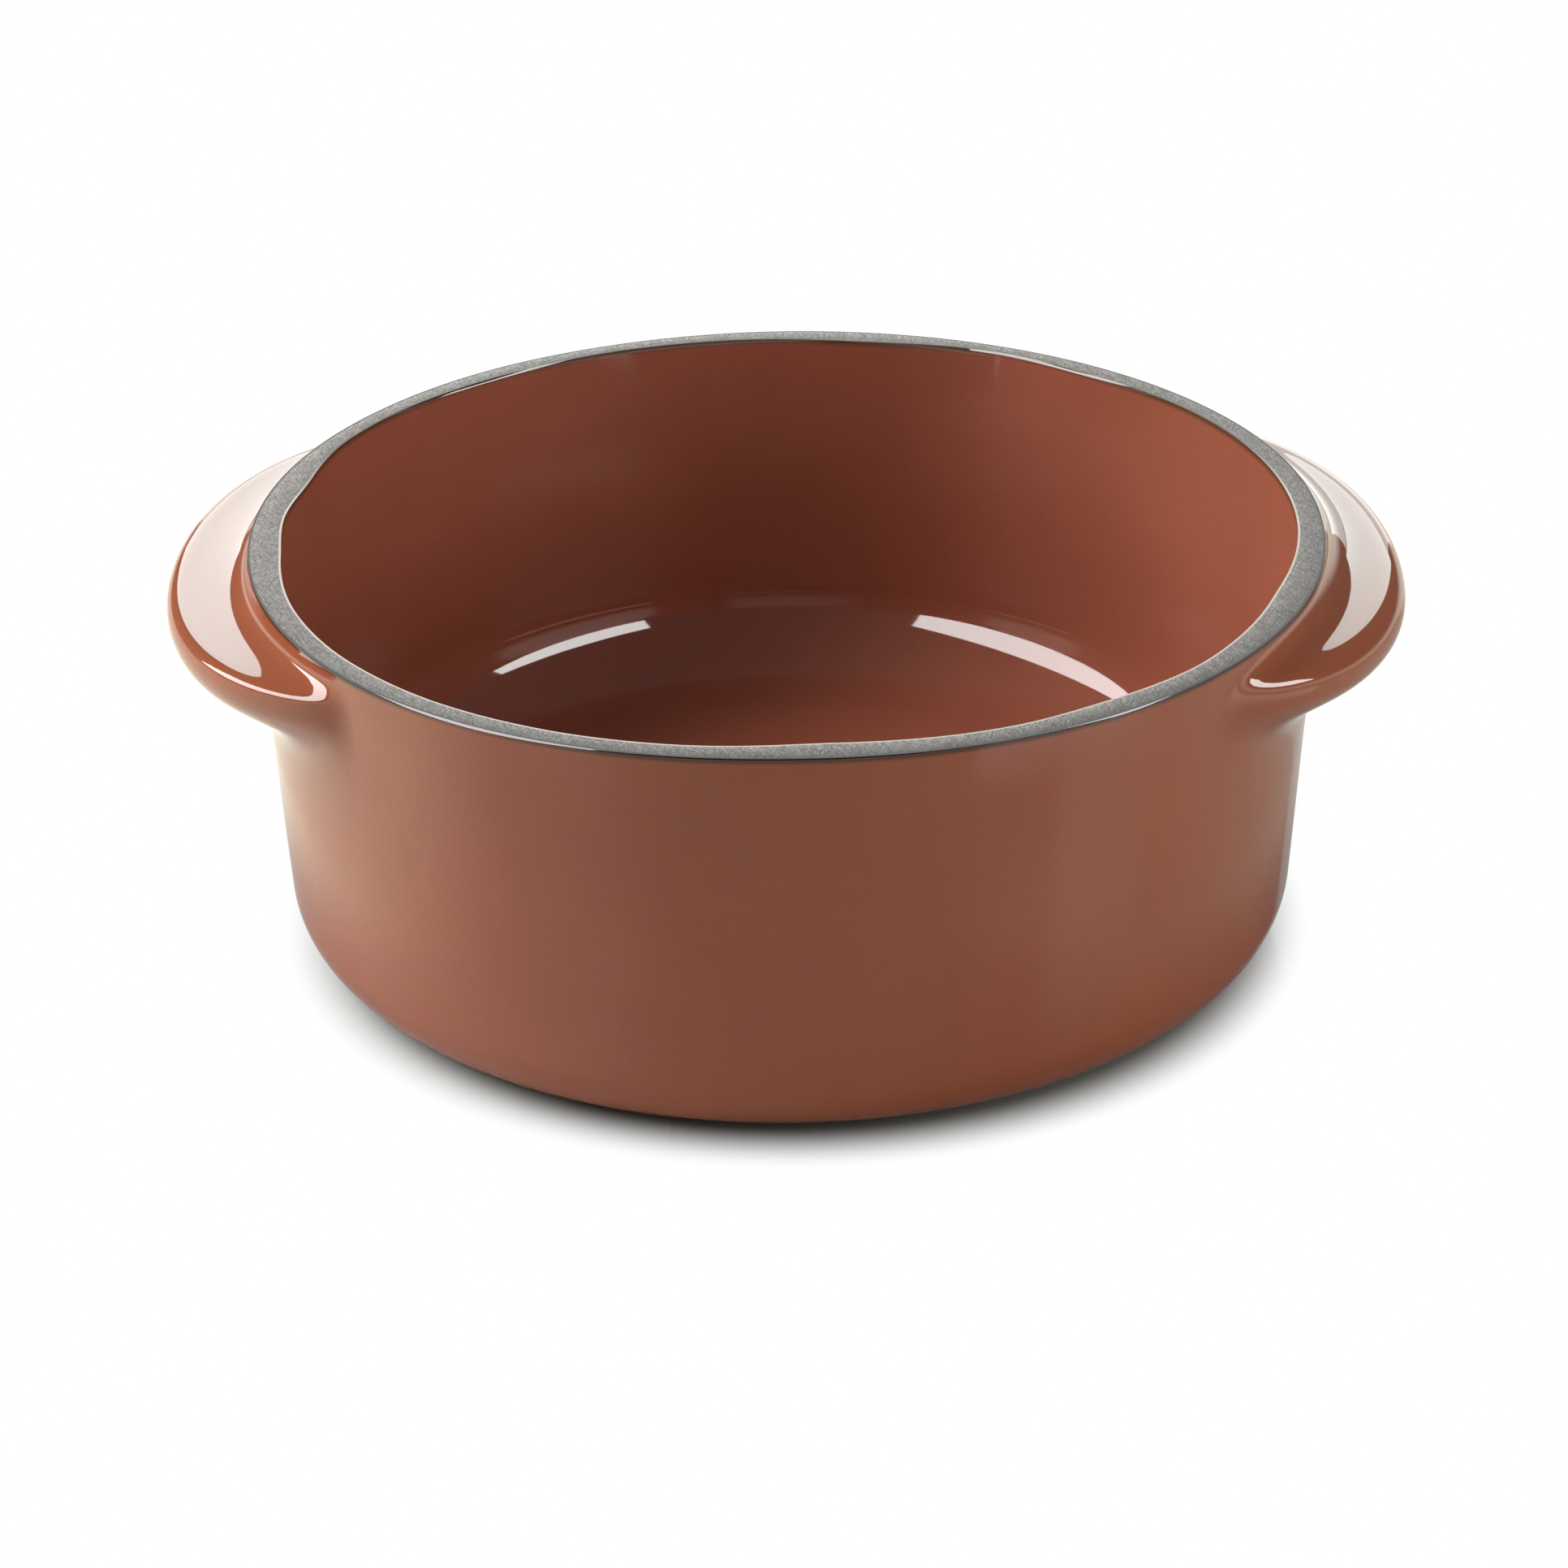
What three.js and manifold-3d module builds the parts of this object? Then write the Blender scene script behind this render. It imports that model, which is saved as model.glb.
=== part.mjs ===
// A round glazed stoneware casserole dish with two lug handles and a bare ground rim.
//
// The dish is one fired piece, made in layers: a grey clay pot, two clay lugs luted to its wall,
// and glaze coats over everything but the rim and the foot ring. Each layer is a separate solid here,
// and the coats are split along the roots of the lugs, so that a lug comes away with its own coat.
// Millimetres, +Z up. The origin is on the table, under the middle of the dish, and the lugs lie along X.
import * as THREE from "three";
import { mergeVertices } from "three/addons/utils/BufferGeometryUtils.js";
import Module from "manifold-3d";

const wasm = await Module();
wasm.setup();

// Driving dimensions of the pot, over its glaze
const HEIGHT = 60.5;
const RIM_DIAMETER = 150;
const WALL_DRAFT = THREE.MathUtils.degToRad(4);
const WALL_THICKNESS = 4.4;
const FLOOR_THICKNESS = 6.8;
const OUTER_CORNER_RADIUS = 9.5;
const INNER_CORNER_RADIUS = 15;
const RIM_EDGE_EASE = 0.5;

// The bare foot ring that the dish stands on
const FOOT_HEIGHT = 1.5;
const FOOT_WIDTH = 5;
const FOOT_TAPER = 0.5;
const FOOT_INSET = 4;

// The glaze coats, and where they stop short of the rim plane and of the foot ring
const GLAZE_THICKNESS = 0.5;
const BOND_GAP = 0.3;
const GLAZE_LINE_DEPTH = 1.2;
const FOOT_BARE_MARGIN = 1.2;

// The lug handles, over their glaze
const LUG_REACH = 12.6;
const LUG_HALF_SPAN = THREE.MathUtils.degToRad(44);
const LUG_THICKNESS = 14.2;
const LUG_END_THICKNESS = 7;
const LUG_TOP_FILLET = 1;
const LUG_UNDER_FILLET = 4;
const LUG_FULLNESS = 2.5;
const LUG_ROOT_DEPTH = 4;

// How finely round shapes are divided
const TURN_STEPS = 60;
const CORNER_STEPS = 5;
const LUG_STATIONS = 24;
const LUG_SECTION_STEPS = 14;

// Colours and finishes
const CLAY = new THREE.MeshStandardMaterial({ color: 0x9c9a94, roughness: 0.85, metalness: 0 });
const GLAZE = new THREE.MeshStandardMaterial({ color: 0xa65c3c, roughness: 0.1, metalness: 0 });

// Values that follow from the driving dimensions
const COAT_DEPTH = GLAZE_THICKNESS + BOND_GAP;
const RIM_RADIUS = RIM_DIAMETER / 2;
const GLAZE_LINE = HEIGHT - GLAZE_LINE_DEPTH;
const FLOOR_LEVEL = FOOT_HEIGHT + FLOOR_THICKNESS;
const UNDERSIDE_LEVEL = FOOT_HEIGHT;
const ACROSS_WALL = 1 / Math.cos(WALL_DRAFT);
const OUTER_CORNER = cornerCentre(outerRadius, UNDERSIDE_LEVEL, OUTER_CORNER_RADIUS);
const INNER_CORNER = cornerCentre(innerRadius, FLOOR_LEVEL, INNER_CORNER_RADIUS);
const FOOT_OUTER_RADIUS = OUTER_CORNER.x - FOOT_INSET;
const FOOT_INNER_RADIUS = FOOT_OUTER_RADIUS - FOOT_WIDTH;

// Radius of the glazed outer wall at a height, and of the same wall a depth below its glaze.
function outerRadius(z, depth = 0) {
  return RIM_RADIUS - (HEIGHT - z) * Math.tan(WALL_DRAFT) - depth * ACROSS_WALL;
}

// Radius of the glazed inner wall at a height, and of the same wall a depth below its glaze.
function innerRadius(z, depth = 0) {
  return outerRadius(z) - (WALL_THICKNESS - depth) * ACROSS_WALL;
}

// Centre of the arc that rounds a wall into a level face.
function cornerCentre(wallRadius, level, radius) {
  const z = level + radius;
  return new THREE.Vector2(wallRadius(z) - radius * ACROSS_WALL, z);
}

// Points of a corner arc, from the wall down to the level face.
function cornerArc(centre, radius) {
  return Array.from({ length: CORNER_STEPS + 1 }, (_, i) => {
    const angle = -THREE.MathUtils.lerp(WALL_DRAFT, Math.PI / 2, i / CORNER_STEPS);
    return new THREE.Vector2(centre.x + radius * Math.cos(angle), centre.y + radius * Math.sin(angle));
  });
}

// The outer face a depth below the glaze, from a height on the wall down to a radius on the underside.
function outerFace(depth, top, lastRadius) {
  return [
    new THREE.Vector2(outerRadius(top, depth), top),
    ...cornerArc(OUTER_CORNER, OUTER_CORNER_RADIUS - depth),
    new THREE.Vector2(lastRadius, UNDERSIDE_LEVEL + depth),
  ];
}

// The inner face a depth below the glaze, from a height on the wall down to the middle of the floor.
function innerFace(depth, top) {
  return [
    new THREE.Vector2(innerRadius(top, depth), top),
    ...cornerArc(INNER_CORNER, INNER_CORNER_RADIUS + depth),
    new THREE.Vector2(0, FLOOR_LEVEL - depth),
  ];
}

// A solid of revolution about Z. The profile runs anticlockwise, with the radius to the right and Z up.
function revolve(profile) {
  return new THREE.LatheGeometry(profile, TURN_STEPS).rotateX(Math.PI / 2);
}

// A ring or a bowl between two faces that run the same way, the first on the outside.
function revolveBetween(outside, inside) {
  return revolve([...inside, ...outside.toReversed(), inside[0]]);
}

// A closed geometry as a solid for joining and cutting.
function solidOf(geometry) {
  const bare = geometry.clone();
  bare.deleteAttribute("normal");
  bare.deleteAttribute("uv");
  const merged = mergeVertices(bare, 1e-4);
  return new wasm.Manifold(
    new wasm.Mesh({
      numProp: 3,
      vertProperties: new Float32Array(merged.attributes.position.array),
      triVerts: new Uint32Array(merged.index.array),
    }),
  );
}

// A solid back as a geometry.
function geometryOf(solid) {
  const mesh = solid.getMesh();
  const geometry = new THREE.BufferGeometry();
  geometry.setAttribute("position", new THREE.BufferAttribute(mesh.vertProperties, 3));
  geometry.setIndex(new THREE.BufferAttribute(mesh.triVerts, 1));
  geometry.computeVertexNormals();
  return geometry;
}

function cut(geometry, ...tools) {
  return geometryOf(tools.reduce((solid, tool) => solid.subtract(solidOf(tool)), solidOf(geometry)));
}

// The clay pot: floor, wall, bare flat rim and foot ring. Above the glaze the wall is as thick as with it.
function clayPot() {
  const bareLine = GLAZE_LINE + BOND_GAP;
  const outside = outerFace(COAT_DEPTH, bareLine, FOOT_OUTER_RADIUS);
  const inside = innerFace(COAT_DEPTH, bareLine);
  const underside = UNDERSIDE_LEVEL + COAT_DEPTH;
  const eased = HEIGHT - RIM_EDGE_EASE;
  return revolve([
    new THREE.Vector2(0, underside),
    new THREE.Vector2(FOOT_INNER_RADIUS, underside),
    new THREE.Vector2(FOOT_INNER_RADIUS + FOOT_TAPER, 0),
    new THREE.Vector2(FOOT_OUTER_RADIUS - FOOT_TAPER, 0),
    ...outside.toReversed(),
    new THREE.Vector2(outerRadius(bareLine), bareLine),
    new THREE.Vector2(outerRadius(eased), eased),
    new THREE.Vector2(outerRadius(HEIGHT) - RIM_EDGE_EASE, HEIGHT),
    new THREE.Vector2(innerRadius(HEIGHT) + RIM_EDGE_EASE, HEIGHT),
    new THREE.Vector2(innerRadius(eased), eased),
    new THREE.Vector2(innerRadius(bareLine), bareLine),
    ...inside,
  ]);
}

// The glaze over the inner wall and the floor.
function innerGlaze() {
  return revolve([...innerFace(GLAZE_THICKNESS, GLAZE_LINE).toReversed(), ...innerFace(0, GLAZE_LINE)]);
}

// The glaze over the outer wall and its lower corner, open where the lugs join the clay.
function outerGlaze() {
  const lastRadius = FOOT_OUTER_RADIUS + FOOT_BARE_MARGIN;
  const coat = revolveBetween(
    outerFace(0, GLAZE_LINE, lastRadius),
    outerFace(GLAZE_THICKNESS, GLAZE_LINE, lastRadius),
  );
  const window = lugForm(COAT_DEPTH + BOND_GAP);
  return cut(coat, window, window.clone().rotateZ(Math.PI));
}

// The glaze on the underside, within the foot ring.
function undersideGlaze() {
  const radius = FOOT_INNER_RADIUS - FOOT_BARE_MARGIN;
  return revolve([
    new THREE.Vector2(0, UNDERSIDE_LEVEL),
    new THREE.Vector2(radius, UNDERSIDE_LEVEL),
    new THREE.Vector2(radius, UNDERSIDE_LEVEL + GLAZE_THICKNESS),
    new THREE.Vector2(0, UNDERSIDE_LEVEL + GLAZE_THICKNESS),
  ]);
}

// The room that the clay wall takes up, with the bond gap round it, from the table to above the rim.
function wallRoom() {
  const depth = COAT_DEPTH - BOND_GAP;
  const top = HEIGHT + LUG_THICKNESS;
  return revolve([
    new THREE.Vector2(0, 0),
    new THREE.Vector2(outerRadius(0, depth), 0),
    new THREE.Vector2(outerRadius(top, depth), top),
    new THREE.Vector2(0, top),
  ]);
}

// The lug on the +X side, grown by a distance beyond its clay and rooted inside the wall.
// Its plan is a parabola over the wall. Its section is a superellipse that flares into the wall
// above and below, and that thins towards both ends, where it dives under the wall's face.
function lugForm(grow) {
  const endAngle = LUG_HALF_SPAN * Math.sqrt(1 + LUG_ROOT_DEPTH / (2 * LUG_REACH));
  const loops = Array.from({ length: LUG_STATIONS + 1 }, (_, i) => {
    const angle = THREE.MathUtils.lerp(-endAngle, endAngle, i / LUG_STATIONS);
    return lugSection(angle, 1 - (angle / LUG_HALF_SPAN) ** 2, grow);
  });
  return loft(loops);
}

// One section of a lug at an angle round the dish, where bulge is 1 in the middle and 0 at the wall's face.
function lugSection(angle, bulge, grow) {
  const clayHalf = THREE.MathUtils.lerp(LUG_END_THICKNESS, LUG_THICKNESS, Math.max(bulge, 0)) / 2 - COAT_DEPTH;
  const middle = GLAZE_LINE - COAT_DEPTH - LUG_TOP_FILLET - clayHalf;
  const length = LUG_ROOT_DEPTH + LUG_REACH * bulge + grow;
  return Array.from({ length: LUG_SECTION_STEPS + 1 }, (_, i) => {
    const turn = Math.PI * (0.5 - i / LUG_SECTION_STEPS);
    const side = Math.sign(LUG_SECTION_STEPS / 2 - i);
    const out = length * Math.cos(turn) ** (2 / LUG_FULLNESS) - LUG_ROOT_DEPTH;
    const fillet = side > 0 ? LUG_TOP_FILLET : LUG_UNDER_FILLET;
    const flare = fillet * Math.exp(-Math.max(out, 0) / fillet);
    const up = (clayHalf + grow + flare) * Math.abs(Math.sin(turn)) ** (2 / LUG_FULLNESS);
    const z = middle + side * up;
    const radius = outerRadius(z, COAT_DEPTH) + out;
    return new THREE.Vector3(radius * Math.cos(angle), radius * Math.sin(angle), z);
  });
}

// A closed skin through a row of section loops, with a flat cap on each end.
function loft(loops) {
  const count = loops[0].length;
  const faces = [];
  for (let i = 0; i + 1 < loops.length; i++) {
    for (let j = 0; j < count; j++) {
      const a = i * count + j;
      const b = i * count + ((j + 1) % count);
      faces.push(a, b, a + count, b, b + count, a + count);
    }
  }
  const capFaces = THREE.ShapeUtils.triangulateShape(
    loops[0].map((p) => new THREE.Vector2(Math.hypot(p.x, p.y), p.z)),
    [],
  );
  const last = (loops.length - 1) * count;
  for (const [a, b, c] of capFaces) {
    faces.push(a, b, c, last + a, last + c, last + b);
  }
  const geometry = new THREE.BufferGeometry().setFromPoints(loops.flat());
  return geometry.setIndex(faces);
}

// The clay of a lug, seated on the pot's wall.
function lugClay() {
  return cut(lugForm(0), wallRoom());
}

// The glaze over a lug, down to the pot's wall.
function lugGlaze() {
  return cut(lugForm(COAT_DEPTH), lugForm(BOND_GAP), wallRoom());
}

function piece(name, geometry, material) {
  const mesh = new THREE.Mesh(geometry, material);
  mesh.name = name;
  return mesh;
}

// A lug and its coat, turned round the dish to their side.
function handle(side, turn) {
  const group = new THREE.Group();
  group.add(piece(`${side}_handle`, lugClay(), CLAY));
  group.add(piece(`${side}_handle_glaze`, lugGlaze(), GLAZE));
  group.rotation.z = turn;
  return group;
}

const dish = new THREE.Group();
dish.add(piece("clay_pot", clayPot(), CLAY));
dish.add(piece("inner_glaze", innerGlaze(), GLAZE));
dish.add(piece("outer_glaze", outerGlaze(), GLAZE));
dish.add(piece("underside_glaze", undersideGlaze(), GLAZE));
dish.add(handle("right", 0));
dish.add(handle("left", Math.PI));

export default dish;
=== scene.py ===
# %% [markdown]
# # A small glazed casserole dish
# The dish is one fired piece of stoneware. A grey clay pot with two lugs is dipped in a brown glaze, and
# after the kiln its rim is ground flat, which bares the clay as a thin grey ring. This lesson builds those
# layers as surfaces worked out with numpy, gives each a finish made of shader nodes, and lights them as in a
# small studio. It starts by loading the solid model, which fixes every size and place.

import math

import bpy
import numpy as np
from mathutils import Matrix, Vector


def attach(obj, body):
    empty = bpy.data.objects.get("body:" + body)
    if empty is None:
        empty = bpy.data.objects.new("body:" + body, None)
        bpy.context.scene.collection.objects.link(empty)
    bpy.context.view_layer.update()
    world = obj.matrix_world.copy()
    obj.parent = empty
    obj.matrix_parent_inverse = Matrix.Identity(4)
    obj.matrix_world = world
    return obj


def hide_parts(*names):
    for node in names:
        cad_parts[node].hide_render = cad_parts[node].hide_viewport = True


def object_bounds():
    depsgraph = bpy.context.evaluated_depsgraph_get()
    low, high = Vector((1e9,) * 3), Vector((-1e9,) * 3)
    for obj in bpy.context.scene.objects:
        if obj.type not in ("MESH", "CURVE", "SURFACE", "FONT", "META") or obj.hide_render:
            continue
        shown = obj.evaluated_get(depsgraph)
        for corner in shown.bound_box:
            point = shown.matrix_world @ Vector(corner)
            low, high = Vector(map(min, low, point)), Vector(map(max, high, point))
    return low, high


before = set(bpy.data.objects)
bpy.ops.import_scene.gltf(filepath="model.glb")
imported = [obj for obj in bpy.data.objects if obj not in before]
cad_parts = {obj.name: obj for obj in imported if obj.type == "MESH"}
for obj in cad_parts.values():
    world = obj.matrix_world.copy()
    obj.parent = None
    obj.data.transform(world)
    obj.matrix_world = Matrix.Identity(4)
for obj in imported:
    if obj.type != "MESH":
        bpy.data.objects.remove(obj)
CAD_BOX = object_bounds()
MM = 0.001
print("solid pieces:", sorted(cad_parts))
print("box in mm:", [[round(v / MM, 2) for v in corner] for corner in CAD_BOX])

# %% [markdown]
# ## The camera
# The photograph looks down on the dish from the front with a long lens, from about three quarters of a metre.
# A camera could be aimed with a constraint, but here its three axes are worked out as vectors, so that the
# slight tilt of the picture is one more turn of those axes.

# %% Place the camera
PHOTO_PIXELS = 1932
FOCAL_PIXELS = 6492
SENSOR_MM = 36.0
CAMERA_PLACE = np.array([0.0, -676.9, 353.3]) * MM
CAMERA_AIM = np.array([-0.8, 0.0, 20.3]) * MM
CAMERA_TILT = math.radians(-0.79)


def camera_axes(place, aim, tilt):
    """Right, up and forward of a camera at place that looks at aim.

    Forward points at the aim, right is level, up is square to both; then right and up turn by tilt."""
    forward = (aim - place) / np.linalg.norm(aim - place)
    level = np.cross(forward, [0.0, 0.0, 1.0])
    level = level / np.linalg.norm(level)
    upright = np.cross(level, forward)
    right = math.cos(tilt) * level + math.sin(tilt) * upright
    up = math.cos(tilt) * upright - math.sin(tilt) * level
    return right, up, forward


def place_camera():
    """A camera object whose matrix holds the axes and the place as its columns."""
    lens = bpy.data.cameras.new("photo_camera")
    lens.sensor_width = SENSOR_MM
    lens.lens = FOCAL_PIXELS / PHOTO_PIXELS * SENSOR_MM
    lens.clip_end = 50.0
    camera = bpy.data.objects.new("photo_camera", lens)
    bpy.context.scene.collection.objects.link(camera)
    right, up, forward = camera_axes(CAMERA_PLACE, CAMERA_AIM, CAMERA_TILT)
    turned = np.stack([right, up, -forward], axis=1)
    camera.matrix_world = Matrix.Translation(Vector(CAMERA_PLACE)) @ Matrix(turned.tolist()).to_4x4()
    bpy.context.scene.camera = camera
    return camera


camera = place_camera()
print("lens in mm:", round(camera.data.lens, 2))

# %% [markdown]
# ## A grid that goes round the dish
# Every layer of a round pot is a section carried round the middle. Blender's Spin or Screw could do that for
# a section that never changes, but this rim wanders and the lugs swell, so each point of the section is a
# whole row of numbers, one for each direction. A section is then an array of rows by directions, and one
# helper closes it into a solid skin.

# %% Helpers for sections
DIRECTIONS = 480
TURN = np.linspace(0.0, 2.0 * np.pi, DIRECTIONS, endpoint=False)


def band(radius, height):
    """A piece of section as rows by directions by (radius, height), from plain columns or full arrays."""
    radius = np.asarray(radius, float)
    height = np.asarray(height, float)
    radius = radius[:, None] if radius.ndim == 1 else radius
    height = height[:, None] if height.ndim == 1 else height
    rows = max(len(radius), len(height))
    shape = (rows, DIRECTIONS)
    return np.stack([np.broadcast_to(radius, shape), np.broadcast_to(height, shape)], axis=-1)


def round_the_dish(section):
    """Points of a section: x is radius times cosine of the direction, y radius times sine, z the height."""
    radius = section[..., 0]
    return np.stack([radius * np.cos(TURN), radius * np.sin(TURN), section[..., 1]], axis=-1)


def grid_faces(rows, ends_meet):
    """Quads between each row and the next, and between each direction and the next one round the dish.

    Where the ends meet, the last row is joined to the first one; otherwise each end gets a fan of triangles
    to a point in the middle, numbered after the grid."""
    number = np.arange(rows * DIRECTIONS).reshape(rows, DIRECTIONS)
    beside = np.roll(number, -1, axis=1)
    upper = number if ends_meet else number[:-1]
    upper_beside = beside if ends_meet else beside[:-1]
    lower = np.roll(number, -1, axis=0) if ends_meet else number[1:]
    lower_beside = np.roll(beside, -1, axis=0) if ends_meet else beside[1:]
    quads = np.stack([upper, upper_beside, lower_beside, lower], axis=-1).reshape(-1, 4)
    if ends_meet:
        return quads, np.zeros((0, 3), int)
    first = np.full(DIRECTIONS, rows * DIRECTIONS)
    fan_one = np.stack([beside[0], number[0], first], axis=-1)
    fan_two = np.stack([number[-1], beside[-1], first + 1], axis=-1)
    return quads, np.concatenate([fan_one, fan_two])


def enclosed_volume(points, triangles):
    """Sum of the small volumes between each triangle and the origin, positive when faces point outwards."""
    a, b, c = (points[triangles[:, k]] for k in range(3))
    return float(np.einsum("ij,ij->i", a, np.cross(b, c)).sum() / 6.0)


CRISP_DEGREES = 32.0


def layer_object(name, section, ends_meet, values, attribute="from_edge"):
    """A mesh object from a section in mm, with outward faces, smooth shading and crisp edges at sharp turns.

    values holds one number for each point of the section and is kept as an attribute of the mesh. A point in
    the middle takes the average of the last row."""
    points = round_the_dish(section).reshape(-1, 3)
    quads, fans = grid_faces(len(section), ends_meet)
    if not ends_meet:
        poles = np.array([[0.0, 0.0, section[0, :, 1].mean()], [0.0, 0.0, section[-1, :, 1].mean()]])
        points = np.concatenate([points, poles])
    triangles = np.concatenate([quads[:, [0, 1, 2]], quads[:, [0, 2, 3]], fans])
    volume = enclosed_volume(points, triangles)
    if volume < 0.0:
        quads = quads[:, ::-1]
        fans = fans[:, ::-1]
    mesh = bpy.data.meshes.new(name)
    mesh.from_pydata((points * MM).tolist(), [], quads.tolist() + fans.tolist())
    mesh.polygons.foreach_set("use_smooth", np.ones(len(mesh.polygons), bool))
    mesh.set_sharp_from_angle(angle=math.radians(CRISP_DEGREES))
    spread = np.full(len(points), values[-1].mean())
    spread[: values.size] = values.reshape(-1)
    mesh.attributes.new(attribute, "FLOAT", "POINT").data.foreach_set("value", spread)
    mesh.update()
    piece = bpy.data.objects.new(name, mesh)
    bpy.context.scene.collection.objects.link(piece)
    print(name, "faces:", len(mesh.polygons), "volume in ml:", round(abs(volume) / 1000.0, 2))
    return piece


print("directions round the dish:", DIRECTIONS)

# %% [markdown]
# ## The wandering edge of the bare ring
# The lip of the pot was rounded and not quite level or round when it left the kiln. Grinding it flat cut
# deeper where it stood higher, so the bare ring is wide there and narrow elsewhere. The edge could be painted
# on, but here it is real geometry: a few radii read off the photograph, joined and then smoothed.

# %% Edges of the bare ring
RIM_RADIUS = 74.95
RIM_HEIGHT = CAD_BOX[1][2] / MM
CUT_LINE = 0.3
# Direction in degrees from the right lug, by way of the back, and radius of the edge in mm.
INNER_KEYS = [
    (0, 71.7), (18, 72.1), (32, 72.3), (44, 72.2), (52, 72.0), (58, 72.6), (64, 73.0), (70, 72.3),
    (80, 71.1), (92, 71.9), (112, 72.3), (128, 72.1), (140, 72.4), (154, 72.2), (166, 70.5), (175, 71.2),
    (185, 70.6), (200, 72.0), (214, 72.7), (230, 72.9), (246, 72.4), (260, 71.6), (273, 70.3), (288, 71.7),
    (295, 72.1), (304, 71.8), (318, 72.6), (330, 71.8), (340, 71.0), (350, 71.4),
]
OUTER_KEYS = [
    (0, 74.6), (40, 74.5), (65, 74.5), (90, 74.4), (110, 74.2), (128, 74.5), (145, 74.4), (180, 74.6),
    (200, 75.1), (222, 75.6), (240, 75.2), (256, 74.6), (270, 74.0), (284, 74.7), (300, 75.2), (316, 75.5),
    (340, 75.1),
]


def wander(keys, soften):
    """Radius by direction: straight lines between the key points, then an average over about soften degrees.

    The average is a bell curve, which in terms of waves round the dish multiplies the wave of order n by
    exp of minus half of (n times soften in radians) squared."""
    line = np.interp(np.degrees(TURN), [k[0] for k in keys], [k[1] for k in keys], period=360.0)
    order = np.arange(DIRECTIONS // 2 + 1)
    bell = np.exp(-0.5 * (order * math.radians(soften)) ** 2)
    return np.fft.irfft(np.fft.rfft(line) * bell, DIRECTIONS)


def humps(rows):
    """Sum of bell curves round the dish; each row is a direction, a height and a spread in degrees."""
    rows = np.asarray(rows, float)
    away = (np.degrees(TURN)[:, None] - rows[:, 0] + 180.0) % 360.0 - 180.0
    return (rows[:, 1] * np.exp(-((away / rows[:, 2]) ** 2))).sum(axis=1)


ring_inner = wander(INNER_KEYS, soften=2.2)
ring_outer = wander(OUTER_KEYS, soften=5.0)
ring_width = ring_outer - ring_inner
print("ring width in mm:", round(ring_width.min(), 2), "to", round(ring_width.max(), 2))

# %% [markdown]
# ## The coat inside the bowl
# Inside, the glaze runs from the ground edge over what is left of the lip, down a wall that leans out by
# four degrees, round a wide corner and across the floor. A lathe profile could be spun for it, but near the
# rim the wall follows the ring's wandering edge, and the lip straightens into it as a small parabola. At two
# places near the back the lip is rounder, and there it catches the lamps as short white strips.

# %% Section of the inner coat
LEAN = math.radians(4.0)
SLOPE = math.tan(LEAN)
BOWL_RADIUS = 70.6
LIP_ROUND = 0.05 + humps([(53.5, 0.14, 7.0), (129.5, 0.14, 8.0)])
LIP_LEAN = 0.1 + humps([(53.5, 0.65, 7.0), (129.5, 0.65, 8.0)])
FADE_DEPTH = 28.0
FLOOR_HEIGHT = 8.3
BOWL_CORNER = 15.0
COAT = 0.4
LIP_ROWS = 14
WALL_ROWS = 18
BOWL_CORNER_ROWS = 26
FLOOR_ROWS = 12
MIDDLE_RADIUS = 2.0


def corner_centre(rim_radius, floor_height, corner):
    """Radius and height of the centre of the round corner that touches the leaning wall and the floor."""
    height = floor_height + corner
    return rim_radius - (RIM_HEIGHT - height) * SLOPE - corner / math.cos(LEAN), height


def fading(depth, reach):
    """One at no depth and nothing from the given reach on, as (1 - depth over reach) squared."""
    return np.clip(1.0 - depth / reach, 0.0, 1.0) ** 2


def bowl_section(extra):
    """The bowl's inside from the lip to the middle, moved outwards by extra.

    The wall's radius leans with depth and takes up the ring's wander by (1 - depth over fade depth) squared.
    On the lip it gains the rounding times (1 - t) squared, with t from 0 at the ground edge to 1 where the
    wall begins, at a depth of twice the rounding over the lean at the edge."""
    drift = ring_inner - CUT_LINE - LIP_ROUND - BOWL_RADIUS
    t = np.linspace(0.0, 1.0, LIP_ROWS)[:, None]
    lip_depth = 2.0 * LIP_ROUND / LIP_LEAN * t
    lip_drift = drift * fading(lip_depth, FADE_DEPTH)
    lip_radius = BOWL_RADIUS - lip_depth * SLOPE + lip_drift + LIP_ROUND * (1.0 - t) ** 2
    lip = band(lip_radius + extra, RIM_HEIGHT - lip_depth)
    middle, height = corner_centre(BOWL_RADIUS, FLOOR_HEIGHT, BOWL_CORNER)
    last = RIM_HEIGHT - height + BOWL_CORNER * math.sin(LEAN)
    depth = lip_depth[-1] + (last - lip_depth[-1]) * np.linspace(0.0, 1.0, WALL_ROWS)[1:-1, None]
    wall_drift = drift * fading(depth, FADE_DEPTH)
    wall = band(BOWL_RADIUS - depth * SLOPE + wall_drift + extra, RIM_HEIGHT - depth)
    angle = np.linspace(LEAN, np.pi / 2, BOWL_CORNER_ROWS)
    reach = BOWL_CORNER + extra
    corner = band(middle + reach * np.cos(angle), height - reach * np.sin(angle))
    floor_radius = np.linspace(middle, MIDDLE_RADIUS, FLOOR_ROWS)[1:]
    floor = band(floor_radius, np.full(len(floor_radius), FLOOR_HEIGHT - extra))
    return np.concatenate([lip, wall, corner, floor])


def along(section):
    """Distance along the section from its first row, for each direction."""
    step = np.linalg.norm(np.diff(section, axis=0), axis=-1)
    return np.concatenate([np.zeros((1, DIRECTIONS)), np.cumsum(step, axis=0)])


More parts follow.
